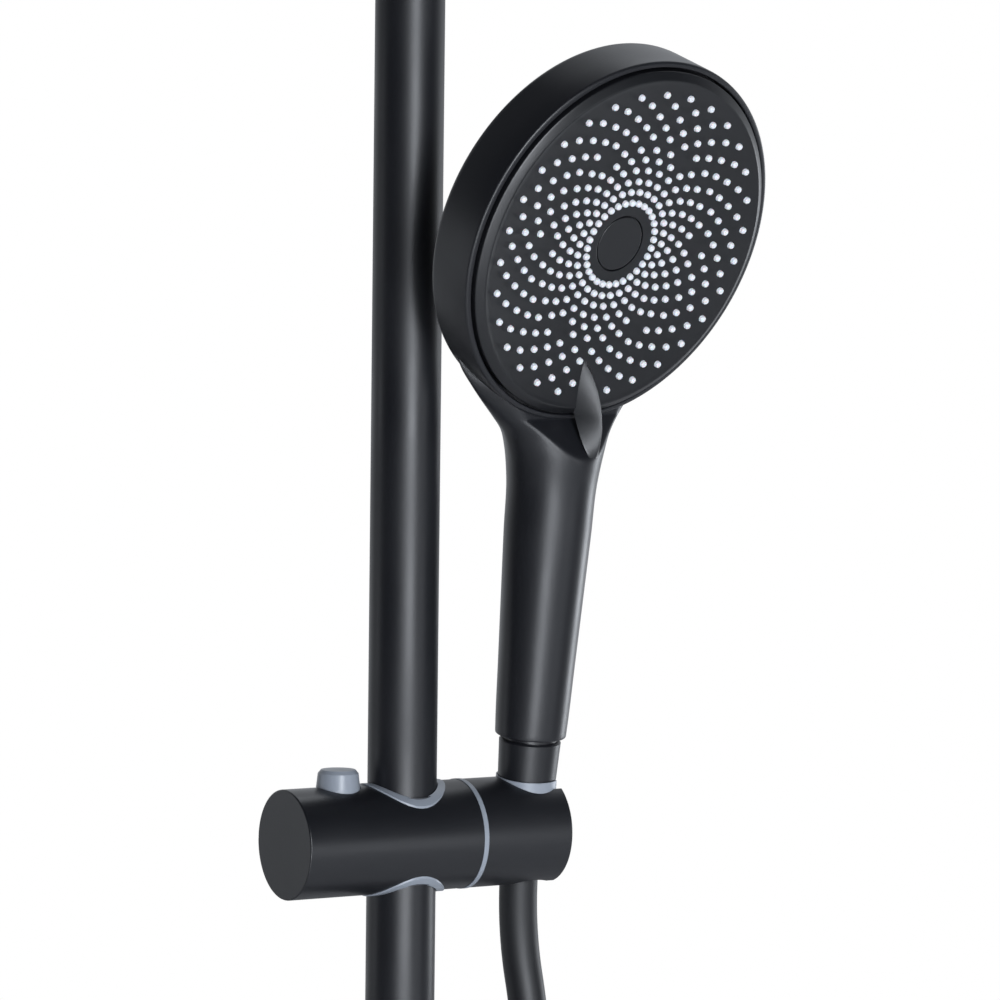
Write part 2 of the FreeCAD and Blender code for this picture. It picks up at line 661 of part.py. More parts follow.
def face_nozzles():
    """Where each nozzle stands: rings of thirty, every other ring turned half a step."""
    step = 360.0 / NOZZLE_COUNT
    places = []
    for ring, radius in enumerate(NOZZLE_RINGS):
        for k in range(NOZZLE_COUNT):
            if ring == SPARE_RING and k % 5 == 4:
                continue
            angle = NOZZLE_PHASE + step * k + (step / 2 if ring % 2 else 0)
            under_fin = radius > 43 and abs(angle % 360 - 271.3) < 4.5
            if not under_fin:
                a = math.radians(angle)
                places.append((radius * math.cos(a), radius * math.sin(a), radius))
    return places


def spray_nozzles():
    """Silicone mat behind the plate, with a nub through each hole."""
    mat = tube(60.5, 6.0, 1.2, V(0, 0, -3.45))
    nubs = [cylinder(1.0, face_surface(r) + 1.2 + 2.3, V(x, y, -2.3)) for x, y, r in face_nozzles()]
    return mat.fuse(nubs)


def selector_fin():
    """Blade on the plate's foot: turning it turns the spray plate."""
    side = [V(0, -44.5, 1.0), V(0, -44.5, 1.6), V(0, -52, 5.0), V(0, -60, 9.0), V(0, -68, 12.2), V(0, -76.5, 13.0),
            V(0, -78.2, 12.6), V(0, -77.6, 12.2), V(0, -68.6, 0.9), V(0, -60, 0.9)]
    blade = prism([p - V(8, 0, 0) for p in side], V(16, 0, 0))
    tip, left, end, right = V(-4.6, -44.5, -5), V(-2.6, -64, -5), V(2.6, -78.6, -5), V(4.8, -65, -5)
    plan = Part.Wire([Part.Arc(tip, V(-3.9, -54, -5), left).toShape(), Part.Arc(left, V(-1.6, -72.5, -5), end).toShape(),
                      Part.Arc(end, V(4.9, -72, -5), right).toShape(), Part.Arc(right, V(1.8, -54, -5), tip).toShape()])
    leaf = Part.Face(plan).extrude(V(0, 0, 30))
    return blade.common(leaf).cut(cylinder(62.4, 20, V(0, 0, -18))).cut(dish_floor())


def dish_floor():
    """Everything below the plate's surface, used to seat parts on it."""
    return turned(list(DISH) + [(PLATE_R, 0.7), (PLATE_R, -9), (0, -9)])


def flow_disc():
    """Fixed disc inside the drum that feeds one ring of chambers at a time."""
    disc = cylinder(63.6, 3, V(0, 0, -9.5))
    ports = [cylinder(5, 3, V(x, y, -9.5)) for x, y in spoke_points(3, 24)]
    ribs = tube(50, 48, 4, V(0, 0, -13.5)).fuse(tube(14, 12, 4, V(0, 0, -13.5)))
    return disc.cut(ports).fuse(ribs)


def face_pivot():
    """Shouldered screw that the plate turns on."""
    shank = cylinder(3.0, 13.8, V(0, 0, -14.4))
    return shank.fuse(cylinder(5.2, 0.45, V(0, 0, -1.15)))


def chamber_seal():
    return Part.makeTorus(62.4, 1.0, V(0, 0, -5.4), Z)


save("handset_shell", placed(handset_shell(), ON_HANDSET))
save("handset_waterway", placed(waterway(), ON_HANDSET))
save("inlet_filter", placed(inlet_filter(), ON_HANDSET))
save("hose_cone_nut", placed(hose_cone_nut(), ON_HANDSET))
save("flow_disc", placed(flow_disc().cut(cylinder(3.0, 9, V(0, 0, -14.4))), ON_FACE))
save("face_pivot", placed(face_pivot(), ON_FACE))
save("chamber_seal", placed(chamber_seal(), ON_FACE))
save("spray_plate", placed(spray_plate(), ON_FACE))
save("spray_nozzles", placed(spray_nozzles(), ON_FACE))
save("face_cap", placed(face_cap(), ON_FACE))
save("selector_fin", placed(selector_fin(), ON_FACE))


# ---- hose ---------------------------------------------------------------------------------
def hose_path():
    """Straight runs joined by arcs, each as large as its two runs allow."""
    points = [V(x, y - RAIL_OUT, z) for x, y, z in HOSE_ROUTE]
    edges, start = [], points[0]
    for before, corner, after in zip(points, points[1:], points[2:]):
        into, out = corner - before, after - corner
        reach = 0.45 * min(into.Length, out.Length)
        half_turn = into.getAngle(out) / 2
        radius = reach / math.tan(half_turn)
        print("run %6.1f  turn %5.1f deg  radius %7.1f" % (into.Length, math.degrees(2 * half_turn), radius))
        into.normalize()
        out.normalize()
        inward = out - into
        inward.normalize()
        first, last = corner - into * reach, corner + out * reach
        middle = corner + inward * (radius * (1 / math.cos(half_turn) - 1))
        edges += [Part.makeLine(start, first), Part.Arc(first, middle, last).toShape()]
        start = last
    edges.append(Part.makeLine(start, points[-1]))
    return Part.Wire(edges)


def hose_stretches():
    """The whole hose, parted at two levels into its upper, middle and looped stretches."""
    path = hose_path()
    points = [V(x, y - RAIL_OUT, z) for x, y, z in HOSE_ROUTE]
    whole = pipe(path, HOSE_R, points[0], points[1] - points[0])
    print("hose length %.1f, volume ratio %.4f" % (path.Length, whole.Volume / (math.pi * HOSE_R ** 2 * path.Length)))
    upper, lower = HOSE_SPLITS
    levels = (("hose_top", upper, 800), ("hose_middle", lower, upper), ("hose_loop", -500, lower))
    return [(name, whole.common(box((-300, -300, low), (300, 300, high)))) for name, low, high in levels]


def outlet_nut():
    """Hose nut on the diverter's outlet, with eight grip flats."""
    foot = -BODY_HALF - 28
    nut = turned([(0, foot), (8.6, foot), (11.0, foot + 8), (12.0, foot + 10), (12.0, foot + 23), (11.5, foot + 24),
                  (0, foot + 24)])
    for x, y in spoke_points(12, 12.6):
        nut = nut.cut(cylinder(1.2, 12, V(x, y, foot + 10)))
    return nut.cut(cylinder(10.48, 20, V(0, 0, foot + 12))).cut(cylinder(5.0, 30, V(0, 0, foot)))


for name, stretch in hose_stretches():
    save(name, stretch)
save("hose_outlet_nut", placed(outlet_nut(), ON_RAIL))
lower_washer = placed(washer_ring(5.2, V(0, 0, -BODY_HALF - 14)), ON_RAIL)
upper_washer = placed(washer_ring(5.2, V(0, 0, 22.1)), ON_HANDSET)
save("lower_hose_washer", lower_washer)
save("upper_hose_washer", upper_washer)
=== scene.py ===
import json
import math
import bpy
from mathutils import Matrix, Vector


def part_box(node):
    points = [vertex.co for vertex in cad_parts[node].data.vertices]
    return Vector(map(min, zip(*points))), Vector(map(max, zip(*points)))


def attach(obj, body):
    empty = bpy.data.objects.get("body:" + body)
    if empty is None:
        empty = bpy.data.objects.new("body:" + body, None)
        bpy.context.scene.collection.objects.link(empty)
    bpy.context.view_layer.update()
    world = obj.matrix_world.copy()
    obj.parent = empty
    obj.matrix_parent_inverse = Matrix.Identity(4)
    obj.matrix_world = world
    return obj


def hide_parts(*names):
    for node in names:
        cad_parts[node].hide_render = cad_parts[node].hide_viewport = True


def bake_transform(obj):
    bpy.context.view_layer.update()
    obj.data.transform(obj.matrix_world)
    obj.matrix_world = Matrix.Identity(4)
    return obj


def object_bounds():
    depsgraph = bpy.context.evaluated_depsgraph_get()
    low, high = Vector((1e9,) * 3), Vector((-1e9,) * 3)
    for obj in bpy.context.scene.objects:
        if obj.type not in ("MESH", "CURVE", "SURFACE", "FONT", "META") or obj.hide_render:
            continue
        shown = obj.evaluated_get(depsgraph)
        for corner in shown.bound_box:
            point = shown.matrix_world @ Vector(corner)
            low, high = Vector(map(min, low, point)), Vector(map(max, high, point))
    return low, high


bl_info = {
    "name": "Rainfall Shower Column",
    "version": (1, 0, 0),
    "blender": (4, 5, 0),
    "location": "3D View > Sidebar > Shower",
    "description": "A satin black shower column with a sliding handset, a hose and an overhead rain head",
    "category": "Object",
}

import bmesh
import bpy
import numpy as np
from mathutils import Vector

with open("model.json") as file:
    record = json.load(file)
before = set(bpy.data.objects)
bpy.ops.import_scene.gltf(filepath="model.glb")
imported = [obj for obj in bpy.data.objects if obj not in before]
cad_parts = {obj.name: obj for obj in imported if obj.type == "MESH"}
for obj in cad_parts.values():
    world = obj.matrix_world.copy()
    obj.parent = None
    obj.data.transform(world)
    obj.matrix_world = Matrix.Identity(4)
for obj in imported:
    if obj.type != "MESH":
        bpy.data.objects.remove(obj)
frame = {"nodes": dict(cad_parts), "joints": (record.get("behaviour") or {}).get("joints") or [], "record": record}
NODES = frame["nodes"]
CAD_BOX = [list(map(float, corner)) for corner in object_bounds()]
MM = 0.001

# ---- places, taken from the frame ----------------------------------------------------------
JOINTS = {joint["name"]: joint for joint in frame["joints"]}
RAIL_Y = JOINTS["slider_swivel"]["pos_m"][1]
SLIDER_Z = JOINTS["slider_swivel"]["pos_m"][2]
SOCKET = np.array(JOINTS["handset_turn"]["pos_m"])
HANDLE_AXIS = np.array(JOINTS["handset_turn"]["axis"])
FACE_CENTRE = np.array(JOINTS["spray_select"]["pos_m"])
FACE_NORMAL = np.array(JOINTS["spray_select"]["axis"])

# route of the hose's centreline in metres, from the tapered nut to the diverter's outlet
HOSE_ROUTE = [
    (0.05075, -0.060386, 0.65808), (0.05075, -0.0574, 0.636), (0.0562, -0.062, 0.594),
    (0.0602, -0.065, 0.520), (0.068, -0.067, 0.414), (0.092, -0.072, 0.285),
    (0.125, -0.077, 0.140), (0.152, -0.081, -0.010), (0.163, -0.084, -0.128),
    (0.163, -0.086, -0.232), (0.156, -0.087, -0.307), (0.1148, -0.087, -0.358),
    (0.0517, -0.085, -0.371), (-0.0037, -0.081, -0.339), (-0.0256, -0.076, -0.275),
    (-0.018, -0.069, -0.197), (0.0, -0.062, -0.123), (0.0, -0.062, -0.060)]


# ---- sizes and colours a user may change ----------------------------------------------------
class ShowerFinishes(bpy.types.PropertyGroup):
    coating: bpy.props.StringProperty(
        name="Coating", description="sRGB hex colour of the coated metal", default="#121317")
    moulding: bpy.props.StringProperty(
        name="Moulding", description="sRGB hex colour of the black plastic", default="#131418")
    face: bpy.props.StringProperty(
        name="Spray face", description="sRGB hex colour of the spray plate", default="#101114")
    grey: bpy.props.StringProperty(
        name="Grey parts", description="sRGB hex colour of button, collar and liner", default="#868c95")
    nozzle: bpy.props.StringProperty(
        name="Nozzles", description="sRGB hex colour of the silicone nozzles", default="#d4d5d9")
    sheath: bpy.props.StringProperty(
        name="Hose", description="sRGB hex colour of the hose's sheath", default="#101114")


class ShowerSizes(bpy.types.PropertyGroup):
    hose_diameter: bpy.props.FloatProperty(
        name="Hose diameter", description="Outside diameter of the hose",
        default=0.014, unit="LENGTH")
    drum_radius: bpy.props.FloatProperty(
        name="Head radius", description="Radius of the handset's round head",
        default=0.0686, unit="LENGTH")
    nozzles_per_ring: bpy.props.IntProperty(
        name="Nozzles per ring", description="Nozzles in each ring of the spray plate",
        default=30, min=6, max=60)
    nozzle_radius: bpy.props.FloatProperty(
        name="Nozzle radius", description="Radius of one silicone nozzle",
        default=0.00125, unit="LENGTH")


def finishes():
    return bpy.context.scene.shower_finishes


def sizes():
    return bpy.context.scene.shower_sizes


# ---- mesh helpers ---------------------------------------------------------------------------
def grid_faces(rows, columns, wrap_rows=False, wrap_columns=True):
    """Quads of a grid: each joins a point and the next one along its row to the two in the next row."""
    r = np.arange(rows if wrap_rows else rows - 1)
    c = np.arange(columns if wrap_columns else columns - 1)
    r, c = np.meshgrid(r, c, indexing="ij")
    r2, c2 = (r + 1) % rows, (c + 1) % columns
    quads = np.stack([r * columns + c, r * columns + c2, r2 * columns + c2, r2 * columns + c], axis=-1)
    return quads.reshape(-1, 4)


def surface(name, points, faces, body, covers=()):
    """A finished piece from an array of points (metres, row frame) and an array of quads."""
    mesh = bpy.data.meshes.new(name)
    mesh.from_pydata(points.reshape(-1, 3).tolist(), [], faces.tolist())
    clean = bmesh.new()
    clean.from_mesh(mesh)
    bmesh.ops.remove_doubles(clean, verts=clean.verts, dist=1e-6)
    bmesh.ops.dissolve_degenerate(clean, edges=clean.edges, dist=1e-7)
    bmesh.ops.recalc_face_normals(clean, faces=clean.faces)
    clean.to_mesh(mesh)
    clean.free()
    mesh.shade_smooth()
    mesh.set_sharp_from_angle(angle=math.radians(38))
    piece = bpy.data.objects.new(name, mesh)
    bpy.context.scene.collection.objects.link(piece)
    if body:
        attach(piece, body)
    if covers:
        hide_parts(*covers)
    return piece


def hermite(stations, values, s):
    """Smooth curve through the values at the stations: a cubic in each gap, with the neighbours' slopes."""
    x, y = np.asarray(stations, float), np.asarray(values, float)
    slopes = np.gradient(y, x)
    k = np.clip(np.searchsorted(x, s) - 1, 0, len(x) - 2)
    h = x[k + 1] - x[k]
    t = np.clip((s - x[k]) / h, 0, 1)
    return ((2 * t**3 - 3 * t**2 + 1) * y[k] + (t**3 - 2 * t**2 + t) * h * slopes[k]
            + (3 * t**2 - 2 * t**3) * y[k + 1] + (t**3 - t**2) * h * slopes[k + 1])


def smooth_max(a, b, soft):
    """The larger of two arrays, with the corner between them rounded over a length of soft."""
    return 0.5 * (a + b + np.sqrt((a - b) ** 2 + soft**2))


def handset_axes():
    """Right, front-to-back and along directions of the handle, from its axis and the face's direction."""
    along = HANDLE_AXIS / np.linalg.norm(HANDLE_AXIS)
    back = -(FACE_NORMAL - along * (FACE_NORMAL @ along))
    back = back / np.linalg.norm(back)
    return np.stack([np.cross(back, along), back, along])


def face_axes():
    """Right, up and outward directions of the spray face."""
    right = handset_axes()[0]
    out = FACE_NORMAL / np.linalg.norm(FACE_NORMAL)
    return np.stack([right, np.cross(out, right), out])


def on_handset(local_mm):
    """Points in the frame's metres, from millimetres across, behind and along the handle."""
    return SOCKET + local_mm * MM @ handset_axes()


def on_face(local_mm):
    """Points in the frame's metres, from millimetres right, up and out of the spray face."""
    return FACE_CENTRE + local_mm * MM @ face_axes()


def ring_of(profile, count):
    """Points of a lathe: each (radius, height) of the profile carried round the axis in equal steps."""
    profile = np.asarray(profile, float)
    turn = np.linspace(0, 2 * np.pi, count, endpoint=False)
    r, w = profile[:, :1], profile[:, 1:]
    return np.stack([r * np.cos(turn), r * np.sin(turn), w + 0 * turn], axis=-1)


def corner_arc(cx, cy, radius, start, end, steps=5):
    """Points of a round corner about (cx, cy), from one angle to another in degrees."""
    a = np.radians(np.linspace(start, end, steps))
    return list(zip(cx + radius * np.cos(a), cy + radius * np.sin(a)))


# ---- materials ------------------------------------------------------------------------------
def linear(hex_colour):
    """Linear light values of an sRGB hex colour."""
    parts = np.array([int(hex_colour[i:i + 2], 16) / 255 for i in (1, 3, 5)])
    light = np.where(parts <= 0.04045, parts / 12.92, ((parts + 0.055) / 1.055) ** 2.4)
    return (*light.tolist(), 1.0)


def add(material, kind, settings=None, **links):
    """Adds one node with its settings; each link names an input and gives the output that feeds it."""
    tree = material.node_tree
    node = tree.nodes.new(kind)
    for key, value in (settings or {}).items():
        if key in node.inputs:
            node.inputs[key].default_value = value
        else:
            setattr(node, key, value)
    for key, output in links.items():
        tree.links.new(node.inputs[key.replace("_", " ")], output)
    return node


def moulded(name, colour, roughness, grain_mm, depth, spread=0.05, mottle=0.06, **shader):
    """A finish with a fine surface grain: noise of the grain's size lifts the surface, and a broader
    noise varies its gloss and tone. What else is given goes to the shader."""
    material = bpy.data.materials.new(name)
    material.use_nodes = True
    tree = material.node_tree
    tree.nodes.clear()
    place = add(material, "ShaderNodeTexCoord").outputs["Object"]
    grain = add(material, "ShaderNodeTexNoise", {"Scale": 1000 / grain_mm, "Detail": 2.0}, Vector=place)
    cloud = add(material, "ShaderNodeTexNoise", {"Scale": 18.0, "Detail": 3.0}, Vector=place)
    gloss = add(material, "ShaderNodeMapRange",
                {"From Min": 0.3, "From Max": 0.7,
                 "To Min": roughness - spread, "To Max": roughness + spread}, Value=cloud.outputs["Fac"])
    base = linear(colour)
    low = tuple(c * (1 - mottle) for c in base[:3]) + (1.0,)
    high = tuple(min(1.0, c * (1 + mottle)) for c in base[:3]) + (1.0,)
    tone = add(material, "ShaderNodeMix", {"data_type": "RGBA"})
    tone.inputs[6].default_value = low
    tone.inputs[7].default_value = high
    tree.links.new(tone.inputs[0], cloud.outputs["Fac"])
    bump = add(material, "ShaderNodeBump", {"Strength": depth, "Distance": 0.00005},
               Height=grain.outputs["Fac"])
    principled = add(material, "ShaderNodeBsdfPrincipled", shader, Base_Color=tone.outputs[2],
                     Roughness=gloss.outputs["Result"], Normal=bump.outputs["Normal"])
    add(material, "ShaderNodeOutputMaterial", Surface=principled.outputs["BSDF"])
    return material


# the finish of each material slot of the record
FINISH_NAMES = {
    "black_metal": "satin_powder_coat",
    "black_plastic": "satin_black_abs",
    "face_black": "smooth_black_abs",
    "grey_plastic": "grey_acetal",
    "silicone": "pale_silicone",
    "seal_rubber": "nitrile_rubber",
    "hose_sheath": "matte_pvc_sheath",
    "brass": "turned_brass",
    "steel": "zinc_plated_steel",
    # the parts inside the fittings take a darkened grey: painted shade for the gap at the collar
    "inner_plastic": "inner_acetal_painted_shade",
}


def make_finishes():
    """One material for each finish: its name, colour, roughness, grain in millimetres and grain depth."""
    look = finishes()
    # powder coat, baked: an even satin film with a faint orange peel
    moulded("satin_powder_coat", look.coating, 0.42, 1.6, 0.25, IOR=1.5)
    # injection-moulded ABS from a finely blasted tool: a soft satin
    moulded("satin_black_abs", look.moulding, 0.38, 0.9, 0.3, IOR=1.53)
    # ABS from a polished tool, for the spray plate: smoother and a little glossier
    moulded("smooth_black_abs", look.face, 0.35, 1.2, 0.15, IOR=1.53)
    # dyed acetal, moulded: a cool grey with a soft waxy sheen
    moulded("grey_acetal", look.grey, 0.36, 0.8, 0.2, mottle=0.03, IOR=1.48)
    # liquid silicone: pale, soft and slightly translucent
    moulded("pale_silicone", look.nozzle, 0.45, 0.6, 0.15, mottle=0.02,
            **{"IOR": 1.41, "Subsurface Weight": 0.15, "Subsurface Scale": 0.002})
    # moulded rubber: dull and dark, with hardly any sheen
    moulded("nitrile_rubber", "#161616", 0.7, 0.5, 0.4, IOR=1.52)
    # extruded PVC sheath: matte, with fine lines too small to see
    moulded("matte_pvc_sheath", look.sheath, 0.5, 0.7, 0.25, IOR=1.53)
    # turned brass: warm, with a fine tool finish
    moulded("turned_brass", "#c9a45c", 0.28, 0.5, 0.2, Metallic=1.0)
    # zinc-plated steel: cool grey and slightly cloudy
    moulded("zinc_plated_steel", "#b4b6b9", 0.34, 0.7, 0.2, Metallic=1.0)
    # grey acetal inside the fittings, darkened as painted shade so that no pale line shows at the collar: smooth
    # and a little waxy
    moulded("inner_acetal_painted_shade", "#34363b", 0.42, 0.8, 0.2, mottle=0.03, IOR=1.48)


def finish_of(slot):
    """The material of one of the record's slots."""
    return bpy.data.materials[FINISH_NAMES[slot]]


def dress(piece, slot):
    """Gives a piece its slot's material, and no other."""
    piece.data.materials.clear()
    piece.data.materials.append(finish_of(slot))


# ---- operators ------------------------------------------------------------------------------
class PaintFittings(bpy.types.Operator):
    """Gives every part of the frame its real finish"""
    bl_idname = "shower.paint_fittings"
    bl_label = "Paint fittings"

    def execute(self, context):
        make_finishes()
        for entry in frame["record"]["subparts"]:
            node = NODES[entry["node"]]
            for place in node.material_slots:
                place.material = finish_of(entry["material_slot"])
        return {"FINISHED"}


def hose_centreline():
    """Points along the hose: a quadratic NURBS whose control points are the route's."""
    curve = bpy.data.curves.new("hose_line", "CURVE")
    curve.dimensions = "3D"
    spline = curve.splines.new("NURBS")
    spline.points.add(len(HOSE_ROUTE) - 1)
    spline.points.foreach_set("co", np.c_[HOSE_ROUTE, np.ones(len(HOSE_ROUTE))].ravel())
    spline.order_u = 3
    spline.use_endpoint_u = True
    spline.resolution_u = 24
    holder = bpy.data.objects.new("hose_line", curve)
    mesh = bpy.data.meshes.new_from_object(holder)
    line = np.empty(len(mesh.vertices) * 3)
    mesh.vertices.foreach_get("co", line)
    bpy.data.objects.remove(holder)
    bpy.data.curves.remove(curve)
    bpy.data.meshes.remove(mesh)
    return line.reshape(-1, 3)


def tube_along(line, radius, around=32, across=(0.05, 1.0, 0.02)):
    """Points of a tube: a circle carried along the line, square to it. Its sideways direction is square
    to the line and to one fixed direction that the line never runs along."""
    ahead = np.gradient(line, axis=0)
    ahead /= np.linalg.norm(ahead, axis=1, keepdims=True)
    side = np.cross(ahead, across)
    side /= np.linalg.norm(side, axis=1, keepdims=True)
    other = np.cross(ahead, side)
    turn = np.linspace(0, 2 * np.pi, around, endpoint=False)[None, :, None]
    ring = np.cos(turn) * side[:, None, :] + np.sin(turn) * other[:, None, :]
    return line[:, None, :] + radius * ring


def capped(points):
    """The same grid with its first and last rings drawn in to their centres."""
    first = np.repeat(points[:1].mean(axis=1, keepdims=True), points.shape[1], axis=1)
    last = np.repeat(points[-1:].mean(axis=1, keepdims=True), points.shape[1], axis=1)
    return np.concatenate([first, points, last])


NUT_FOOT = 0.652                     # level where the hose starts to bend, just under its tapered nut


class RunHose(bpy.types.Operator):
    """Lays the hose from the handset's nut down to the outlet, in stretches"""
    bl_idname = "shower.run_hose"
    bl_label = "Run hose"

    def execute(self, context):
        line = hose_centreline()
        lower, upper = (corner[2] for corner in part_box("hose_middle"))
        cut_a = int(np.argmax(line[:, 2] < upper))
        cut_b = int(np.argmax(line[:, 2] < lower))
        lowest = int(np.argmin(line[:, 2]))
        bottom = float(line[lowest, 2])
        bending = (
            ("hose_top", line[:cut_a + 1], "holder", "slider", NUT_FOOT, upper + 0.004),
            ("hose_middle", line[cut_a:cut_b + 1], "slider", "glide", upper - 0.004, lower + 0.006),
            ("hose_loop", line[cut_b:lowest + 1], "glide", "column", lower - 0.006, bottom))
        for node, part, above, below, start, end in bending:
            piece = self.stretch(node + "_sheath", node, part)
            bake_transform(piece)
        fittings = ("hose_outlet_nut", "lower_hose_washer")
        rise = self.stretch("hose_rise_sheath", "hose_loop", line[lowest:], fittings)
        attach(rise, "column")
        return {"FINISHED"}

    def stretch(self, name, node, part, fittings=()):
        """One stretch of the hose: a tube along its part of the line."""
        radius = sizes().hose_diameter / 2
        points = capped(tube_along(part, radius))
        piece = surface(name, points, grid_faces(*points.shape[:2]), None, (node,))
        dress(piece, "hose_sheath")
        return piece


class WindSpring(bpy.types.Operator):
    """Winds the button's return spring, between the button and the slider"""
    bl_idname = "shower.wind_spring"
    bl_label = "Wind spring"

    def execute(self, context):
        low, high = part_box("button_spring")
        middle = [(low[0] + high[0]) / 2, RAIL_Y]
        coil, wire, turns = 0.0027, 0.00045, 4
        turn = np.linspace(0, 2 * np.pi * turns, 24 * turns + 1)
        rise = np.linspace(low[2] + wire, high[2] - wire, len(turn))
        line = np.stack([middle[0] + coil * np.cos(turn), middle[1] + coil * np.sin(turn), rise], axis=-1)
        points = capped(tube_along(line, wire, 10, (0.0, 0.0, 1.0)))
        spring = surface("return_spring", points, grid_faces(*points.shape[:2]), None,
                         ("button_spring",))
        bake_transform(spring)
        dress(spring, "steel")
        return {"FINISHED"}


SCOOP_TOP = (-8.4, 153.3)            # (depth, height) of the recess under the drum's lip
SCOOP_FOOT = (-17.4, 141.0)
# stations along handle and neck: height, half width, half depth, middle's depth, sharpness of the side
NECK = np.array((
    (36.3, 12.95, 12.95, 0, 0), (42, 13.25, 13.25, 0, 0), (60, 13.9, 13.9, 0, 0),
    (85, 14.85, 14.85, 0, 0), (110, 15.8, 15.8, 0, 0), (131, 16.6, 16.55, 0, 0),
    (141, 18.8, 17.8, 0.1, 0.12), (148, 22.7, 17.7, 0.4, 0.3), (154, 28.8, 16.9, 0.9, 0.45),
    (160, 35.2, 15.2, 1.0, 0.55), (166, 41.0, 12.7, 1.0, 0.6), (172, 45.5, 9.5, 2.0, 0.6),
    (180, 49.0, 6.0, 3.0, 0.6)))


def handle_and_neck():
    """Handle and neck in the handset's own millimetres. Each section is an oval whose sides sharpen as
    the neck widens: across the width u from -1 to 1, its depth is a mix of the root of 1 - u^2, round,
    and 1 - u^2 itself, pointed. In front, the scoop's slanting plane is the least depth, softly met."""
    around = 160
    heights = np.concatenate([np.linspace(NECK[0, 0], 131, 70), np.linspace(131.6, NECK[-1, 0], 90)])
    stations = NECK[:, 0]
    wide, deep, middle, sharp = (hermite(stations, NECK[:, k], heights)[:, None] for k in range(1, 5))
    turn = np.linspace(0, 2 * np.pi, around, endpoint=False)[None, :]
    u, v = np.cos(turn), np.sin(turn)
    depth = np.sign(v) * ((1 - sharp) * np.abs(v) + sharp * v * v)
    z = np.broadcast_to(heights[:, None], (len(heights), around))
    x = wide * u
    y = middle + deep * depth
    slope = (SCOOP_TOP[0] - SCOOP_FOOT[0]) / (SCOOP_TOP[1] - SCOOP_FOOT[1])
    plane = np.minimum(SCOOP_TOP[0] + slope * (z - SCOOP_TOP[1]), SCOOP_TOP[0] + 0.6)
    y = np.where(y < 0, smooth_max(y, plane, 0.9), y)
    body = np.stack([x, y, z], axis=-1)
    foot = ring_of([(0, 35.5), (12.1, 35.5), (12.55, 35.6), (12.85, 35.85)], around)
    top = body[-1:] * (0.0, 0.0, 1.0) + (0, 4.0, 2.0)
    return np.concatenate([foot, body, top])


def drum_profile():
    """Closed outline of the drum's wall: lip and side outside, back, and the well inside the lip."""
    outer = sizes().drum_radius / MM
    back = -22.2                     # height of the drum's back edge, from the spray face
    outline = [(0, back - 0.9), (20, back - 0.8), (40, back - 0.45), (58, back - 0.12)]
    outline += corner_arc(outer - 0.6 - 3.0, back + 3.0, 3.0, -90, 0, 8)
    outline += [(outer - 0.25, -9.0)]
    outline += corner_arc(outer - 1.1, -0.36 - 1.0, 1.1, 0, 100, 8)
    outline += corner_arc(66.9, -0.75, 0.6, 95, 180, 5)
    outline += [(66.3, -6.0), (0, -6.0)]
    return outline


class ShapeHandset(bpy.types.Operator):
    """Shapes the handset's handle, flared neck and round drum"""
    bl_idname = "shower.shape_handset"
    bl_label = "Shape handset"

    def execute(self, context):
        neck = on_handset(handle_and_neck())
        drum = on_face(ring_of(drum_profile(), 240))
        handle = surface("handle_and_neck", neck, grid_faces(*neck.shape[:2]), "handset",
                         ("handset_shell",))
        shell = surface("handset_drum", drum, grid_faces(*drum.shape[:2]), "handset",
                        ("handset_shell",))
        dress(handle, "black_plastic")
        dress(shell, "black_plastic")
        return {"FINISHED"}


DISH_EDGE = 62.4                     # radius where the dish ends and the bevelled rim starts
DISH_DEPTH = 2.45


def dish(radius):
    """Height of the spray plate: nearly flat in the middle, rising with the radius to the power 2.2."""
    return DISH_DEPTH * (np.asarray(radius, float) / DISH_EDGE) ** 2.2


class ShapeSprayPlate(bpy.types.Operator):
    """Shapes the dished spray plate with its bevelled rim, and the cap at its centre"""
    bl_idname = "shower.shape_spray_plate"
    bl_label = "Shape spray plate"

    def execute(self, context):
        radii = np.linspace(10.9, DISH_EDGE - 0.5, 40)
        profile = [(0, -0.9), (10.4, -0.9), (10.5, -0.5), (10.6, float(dish(10.6)) - 0.05)]
        profile += [(10.8, float(dish(10.8)))] + list(zip(radii, dish(radii)))
        profile += [(DISH_EDGE, 2.55), (DISH_EDGE + 0.5, 2.35), (64.9, 1.05)]
        profile += corner_arc(64.7, 0.3, 0.75, 60, 0, 5)
        profile += [(65.45, -2.0), (60.0, -2.0), (0, -2.0)]
        points = on_face(ring_of(profile, 240))
        plate = surface("dished_spray_plate", points, grid_faces(*points.shape[:2]), "spray_face",
                        ("spray_plate",))
        dress(plate, "face_black")
        cap_outline = [(0, 0.08), (9.4, 0.05)] + corner_arc(9.75, -0.3, 0.35, 90, 0, 5)
        cap_outline += [(10.1, -0.85), (0, -0.85)]
        points = on_face(ring_of(cap_outline, 96))
        cap = surface("centre_cap", points, grid_faces(*points.shape[:2]), "spray_face",
                      ("face_cap",))
        dress(cap, "face_black")
        return {"FINISHED"}


NOZZLE_RINGS = (15.6, 19.8, 23.8, 28.15, 32.2, 36.1, 41.0, 44.8, 48.8, 53.2, 57.1)
NOZZLE_TURN = 4.3                    # degrees from the right-hand side to the first nozzle
SPARE_RING = 5                       # every fifth nozzle is left out of this ring
FIN_ANGLE, FIN_GAP = 271.3, 4.5      # degrees: the fin's direction, and the bare sector each side of it


